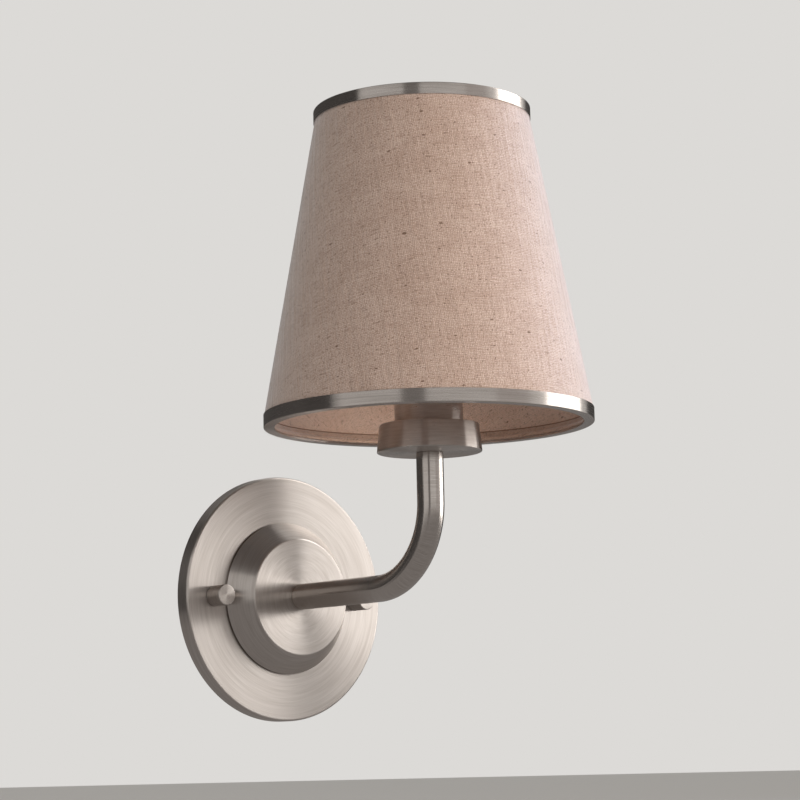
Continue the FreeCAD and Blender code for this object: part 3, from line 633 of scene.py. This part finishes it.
def cloth_cone(outer, low, high):
    """A closed band of cloth: straight inside the two rings, tapered between them."""
    bm = bmesh.new()
    top_r = outer - (CLOTH_HIGH.x - TOP_CLOTH_R)
    line = [Vector((outer, 0, low)), Vector((outer, 0, BOTTOM_RING_HIGH.z))]
    foot, head = line[-1], Vector((top_r, 0, TOP_RING_LOW.z))
    line += [foot.lerp(head, i / CLOTH_ROWS) for i in range(1, CLOTH_ROWS + 1)]
    line.append(Vector((top_r, 0, high)))
    points = [bm.verts.new(p) for p in line]
    edges = [bm.edges.new(pair) for pair in zip(points, points[1:])]
    bmesh.ops.spin(bm, geom=points + edges, cent=(0, 0, 0), axis=(0, 0, 1), angle=FULL_TURN,
                   steps=CLOTH_STEPS, use_merge=True)
    bmesh.ops.recalc_face_normals(bm, faces=bm.faces[:])
    bmesh.ops.translate(bm, vec=LAMP_CENTRE, verts=bm.verts[:])
    return bm


def lay_out(bm):
    """Writes where each corner lay on the flat cut, in millimetres, with the lap at the back."""
    cut = bm.loops.layers.uv.new("cut")
    for face in bm.faces:
        middle = face.calc_center_median() - LAMP_CENTRE
        middle_turn = math.atan2(middle.x, -middle.y)
        for loop in face.loops:
            spot = loop.vert.co - LAMP_CENTRE
            turn = math.atan2(spot.x, -spot.y)
            turn = middle_turn + math.remainder(turn - middle_turn, FULL_TURN)
            foot = Vector((spot.x, spot.y)).length
            reach = (TOP_CLOTH_R / math.tan(slope) + TOP_RING_LOW.z - spot.z) / math.cos(slope)
            fan = turn * math.sin(slope)
            loop[cut].uv = (reach * math.sin(fan) / MM, -reach * math.cos(fan) / MM)


def thicken(cloth, wall, offset):
    """Gives cloth its thickness, inwards from its face at -1 or to both sides at 0."""
    cloth.modifiers.clear()
    thick = cloth.modifiers.new("cloth_thickness", "SOLIDIFY")
    thick.thickness = wall
    thick.offset = offset


def cloth_piece(name, node, outer, wall, material):
    """A puckered cone of cloth with its cut laid out, in place of its CAD node."""
    low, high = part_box(node)
    bm = cloth_cone(outer, low.z, high.z)
    lay_out(bm)
    for point in bm.verts:
        if BOTTOM_RING_HIGH.z < point.co.z < TOP_RING_LOW.z:
            outward = (point.co - LAMP_CENTRE) * Vector((1, 1, 0))
            point.co += outward.normalized() * pucker(point.co)
    cloth = piece(name, bm, material, "shade")
    thicken(cloth, wall, -1)
    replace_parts(cloth, node)
    return cloth


linen = woven_linen("natural_linen", LINEN_COLOUR, LINEN_SHADE_COLOUR)
lining_linen_painted_glow = woven_linen("lining_linen_painted_glow", LINING_PAINTED_GLOW_COLOUR, LINING_PAINTED_GLOW_DARK_COLOUR)
cover_cloth = cloth_piece("shade_cover_linen", "shade_fabric", CLOTH_HIGH.x, CLOTH_WALL, linen)
lining_cloth = cloth_piece("shade_lining_linen", "shade_lining", LINING_HIGH.x, LINING_WALL,
                           lining_linen_painted_glow)

# The hem's section: round its wire, out to the lining and up it.
HEM_ROLL_R = 1.45 * MM
HEM_ROLL = 100.0
HEM_ROLL_STEPS = 8
HEM_TUCK = 0.5 * MM
HEM_LEAN = 2.4 * MM
HEM_HEIGHT = 3.9 * MM
HEM_GLUED = 1.05 * MM
HEM_WALL = 0.25 * MM


def hem(name, wire, side):
    """The cover's edge, turned over a wire ring and glued up the lining. side is 1 where the
    hem rises from its wire and -1 where it falls."""
    low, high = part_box(wire)
    wire_r = (high.z - low.z) / 2
    ring_r = high.x - wire_r
    height = (high.z + low.z) / 2
    bm = bmesh.new()
    arc = [bm.verts.new((ring_r - HEM_ROLL_R, 0, height - side * HEM_TUCK))]
    bmesh.ops.spin(bm, geom=arc, cent=(ring_r, 0, height), axis=(0, side, 0),
                   angle=math.radians(HEM_ROLL), steps=HEM_ROLL_STEPS)
    bm.verts.ensure_lookup_table()
    last = bm.verts[-1]
    for radius, rise in ((ring_r + HEM_GLUED, HEM_LEAN), (ring_r + HEM_GLUED, HEM_HEIGHT)):
        point = bm.verts.new((radius, 0, height + side * rise))
        bm.edges.new((last, point))
        last = point
    bmesh.ops.spin(bm, geom=bm.verts[:] + bm.edges[:], cent=(0, 0, 0), axis=(0, 0, 1),
                   angle=FULL_TURN, steps=CLOTH_STEPS, use_merge=True)
    bmesh.ops.recalc_face_normals(bm, faces=bm.faces[:])
    bmesh.ops.translate(bm, vec=LAMP_CENTRE, verts=bm.verts[:])
    lay_out(bm)
    # The hem is the cover's own linen, but it takes the lining's colour and its painted glow, so it reads
    # lighter and warmer than the cover.
    band = piece(name, bm, lining_linen_painted_glow, "shade")
    thicken(band, HEM_WALL, 0)
    return band


hems = [hem("bottom_hem", "bottom_wire_ring", 1), hem("top_hem", "top_wire_ring", -1)]


# ---- Glue line and painted shadow line -----------------------------------------
# A thin line of glue along the raw edge of the lower hem, squeezed out when it was stuck down.
# Its dark brown is partly the glue's own colour and partly a painted shadow line where the hem's
# edge meets the lining. It is darker and smoother than the cloth.

GLUE_AND_SHADOW_COLOUR = "#8C6852"
GLUE_WIDTH = 0.55 * MM
GLUE_THICK = 0.3 * MM
GLUE_SPOT = 1.5 * MM


def glue_with_painted_shadow():
    """Brown glue, dried hard, with duller and glossier spots; its dark brown carries a painted shadow line.
    """
    material, shader = new_finish("glue_with_painted_shadow")
    place = add(material, "TexCoord", {}).outputs["Object"]
    spots = add(material, "TexNoise", {"Vector": place, "Scale": 1 / GLUE_SPOT})
    gloss = add(material, "MapRange", {"Value": spots.outputs[0], "To Min": 0.4, "To Max": 0.7})
    fill(shader, {"Base Color": linear(GLUE_AND_SHADOW_COLOUR), "Roughness": gloss.outputs[0]})
    return material


wire_low, wire_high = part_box("bottom_wire_ring")
glue_z = (wire_low.z + wire_high.z) / 2 + HEM_HEIGHT
glue_r = LINING_HIGH.x - LINING_WALL
line = turned([
    (glue_r, glue_z, 0), (glue_r - GLUE_THICK, glue_z, GLUE_THICK / 3),
    (glue_r - GLUE_THICK, glue_z + GLUE_WIDTH, GLUE_THICK / 3), (glue_r, glue_z + GLUE_WIDTH, 0)],
    CLOTH_STEPS, LAMP_AXIS)
piece("hem_glue_and_shadow_line", line, glue_with_painted_shadow(), "shade")

# ---- Trim rings ----------------------------------------------------------------
# Two narrow metal bands, rolled to an L with a turned-in lip and a short upstanding edge,
# that grip the shade's rims. They are brushed round and plated like the rest.

BAND_WALL = 0.4 * MM
BAND_LIP = 0.5 * MM
BOTTOM_LIP_R = 72.0 * MM
BOTTOM_FLANGE = 1.1 * MM
TOP_LIP_R = 46.7 * MM
TOP_FLANGE = 1.2 * MM
BAND_CORNER = 0.35 * MM
BAND_EDGE = 0.15 * MM
BAND_SIDES = 256


def trim_ring(name, node, lip_r, flange, lip_up):
    """A band spun from its section, which has its lip down, or up for the top ring."""
    low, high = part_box(node)
    band_r = high.x
    band = high.z - low.z
    section = [
        (lip_r, 0, BAND_EDGE), (band_r, 0, BAND_CORNER), (band_r, band, BAND_EDGE),
        (band_r - BAND_WALL, band, BAND_EDGE), (band_r - BAND_WALL, BAND_LIP, 0),
        (lip_r + BAND_WALL, BAND_LIP, 0), (lip_r + BAND_WALL, flange, BAND_EDGE),
        (lip_r, flange, BAND_EDGE)]
    if lip_up:
        section = [(radius, band - height, edge) for radius, height, edge in section]
    ring = turned(section, BAND_SIDES, Matrix.Translation((0, -ARM_REACH, low.z)))
    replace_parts(piece(name, ring, band_nickel, "shade"), node)


band_nickel = satin_nickel("satin_nickel_bands", UP, LAMP_CENTRE, rough=0.25, anisotropy=0.95)
trim_ring("bottom_trim_band", "bottom_trim_ring", BOTTOM_LIP_R, BOTTOM_FLANGE, False)
trim_ring("top_trim_band", "top_trim_ring", TOP_LIP_R, TOP_FLANGE, True)

# ---- Studio --------------------------------------------------------------------
# A pale floor under the light, a pale surround, a large soft key to the right and weak fill.
# The cards are seen only in the metal, where they draw the dark and bright bands of nickel.

FLOOR_Z = -0.13
FLOOR_R = 6.0
FLOOR_SIDES = 96
SURROUND_COLOUR = "#DCDAD7"
FLOOR_COLOUR = "#CFCDCA"


def disc(place, radius, sides):
    """A level disc about a place."""
    bm = bmesh.new()
    bmesh.ops.create_circle(bm, cap_ends=True, segments=sides, radius=radius,
                            matrix=Matrix.Translation(place))
    return bm


paint, shader = new_finish("pale_floor")
fill(shader, {"Base Color": linear(FLOOR_COLOUR), "Roughness": 0.9, "Specular IOR Level": 0.1})
placed("floor", disc((0, 0, FLOOR_Z), FLOOR_R, FLOOR_SIDES), paint)

world = bpy.data.worlds.new("studio")
world.use_nodes = True
bpy.context.scene.world = world
ray_kind = add(world, "LightPath", {})
seen = add(world, "Math", {0: ray_kind.outputs["Is Camera Ray"], 1: ray_kind.outputs["Is Glossy Ray"]},
           operation="ADD").outputs[0]
seen = add(world, "Math", {0: seen, 1: ray_kind.outputs["Is Transmission Ray"]}, operation="ADD").outputs[0]
strength = add(world, "MapRange", {"Value": seen, "To Min": 0.75, "To Max": 1.0}).outputs[0]
fill(world.node_tree.nodes["Background"], {"Color": linear(SURROUND_COLOUR), "Strength": strength})

AIM = Vector((0, -0.10, 0.09))
GRID_SPREAD = 100


def around(azimuth, distance, height):
    """A place round the light: azimuth 0 is straight in front of the wall, 90 to the right."""
    turn = math.radians(azimuth)
    return Vector((AIM.x + distance * math.sin(turn), AIM.y - distance * math.cos(turn), height))


def softbox(name, place, width, height, power, code):
    """A gridded softbox that lights the cloth; what the metal mirrors of it is a card's work."""
    lamp = bpy.data.lights.new(name, "AREA")
    lamp.shape = "RECTANGLE"
    lamp.size, lamp.size_y = width, height
    lamp.energy = power
    lamp.spread = math.radians(GRID_SPREAD)
    lamp.color = linear(code)[:3]
    thing = bpy.data.objects.new(name, lamp)
    thing.location = place
    thing.rotation_euler = (AIM - place).to_track_quat("-Z", "Y").to_euler()
    thing.visible_camera = False
    thing.visible_glossy = False
    bpy.context.scene.collection.objects.link(thing)


softbox("key_softbox", around(76, 1.6, 0.75), width=1.1, height=1.8, power=17.5, code="#C8DEFF")
softbox("front_fill", around(-15, 2.0, 0.7), width=1.4, height=1.4, power=5.2, code="#FFE4D4")
softbox("low_fill", around(25, 0.45, -0.12), width=0.5, height=0.5, power=1.4, code="#FFF4EC")


def card(name, bm, code, strength):
    """A card that only reflections see, glowing at a set level."""
    glow, shader = new_finish(name + "_cloth")
    fill(shader, {"Base Color": linear("#000000"), "Specular IOR Level": 0.0,
                  "Emission Color": linear(code), "Emission Strength": strength})
    thing = placed(name, bm, glow)
    thing.visible_camera = False
    thing.visible_diffuse = False
    thing.visible_shadow = False
    thing.visible_transmission = False


def curved_card(first, last, radius, low, high):
    """An upright card bent round the light from one azimuth to another, and from low to high."""
    bm = bmesh.new()
    ends = [bm.verts.new(around(first, radius, height)) for height in (low, high)]
    bmesh.ops.spin(bm, geom=ends + [bm.edges.new(ends)], cent=AIM, axis=(0, 0, 1),
                   angle=math.radians(last - first), steps=CARD_STEPS)
    return bm


CARD_R = 1.5
CARD_SIDES = 48
CARD_STEPS = 24
CARD_NEAR_R = 0.5
CARD_FLOOR_Z = FLOOR_Z + 0.002
CARD_COLOUR = "#F4EEEA"
CARD_KEY_COLOUR = "#FFFCF8"
card("card_behind", curved_card(96, 251, CARD_R, FLOOR_Z, 1.6), CARD_COLOUR, strength=0.08)
card("card_gap", curved_card(-59, -43, CARD_R, FLOOR_Z, 1.4), CARD_COLOUR, strength=0.25)
card("card_key", curved_card(45, 84, CARD_R, FLOOR_Z, 1.5), CARD_KEY_COLOUR, strength=3.4)
card("card_side", curved_card(232, 262, CARD_NEAR_R, FLOOR_Z, 0.11), CARD_COLOUR, strength=0.08)
card("card_overhead", disc(around(-62, 0.75, 1.3), 1.25, CARD_SIDES), CARD_COLOUR, strength=0.14)
card("card_floor", disc(around(0, 0, CARD_FLOOR_Z), 1.45, CARD_SIDES), CARD_COLOUR, strength=0.3)
card("card_soft", curved_card(5, 30, CARD_R, FLOOR_Z, 1.4), CARD_COLOUR, strength=0.6)

# ---- Camera --------------------------------------------------------------------
# A long lens, low and to the left, looking up a little, as the photograph was taken.

CAMERA_PLACE = Vector((-0.73903, -0.95025, -0.08132))
CAMERA_YAW = 40.905
CAMERA_PITCH = 8.532
CAMERA_ROLL = -1.25
LENS = 108.58
SENSOR_WIDTH = 36.0

camera = bpy.data.objects.new("camera", bpy.data.cameras.new("camera"))
bpy.context.scene.collection.objects.link(camera)
camera.data.lens = LENS
camera.data.sensor_width = SENSOR_WIDTH
camera.location = CAMERA_PLACE
level = Euler((math.radians(90 + CAMERA_PITCH), 0, math.radians(-CAMERA_YAW))).to_matrix()
camera.rotation_euler = (level @ Matrix.Rotation(math.radians(CAMERA_ROLL), 3, "Z")).to_euler()
bpy.context.scene.camera = camera
bpy.context.scene.view_settings.view_transform = "Standard"
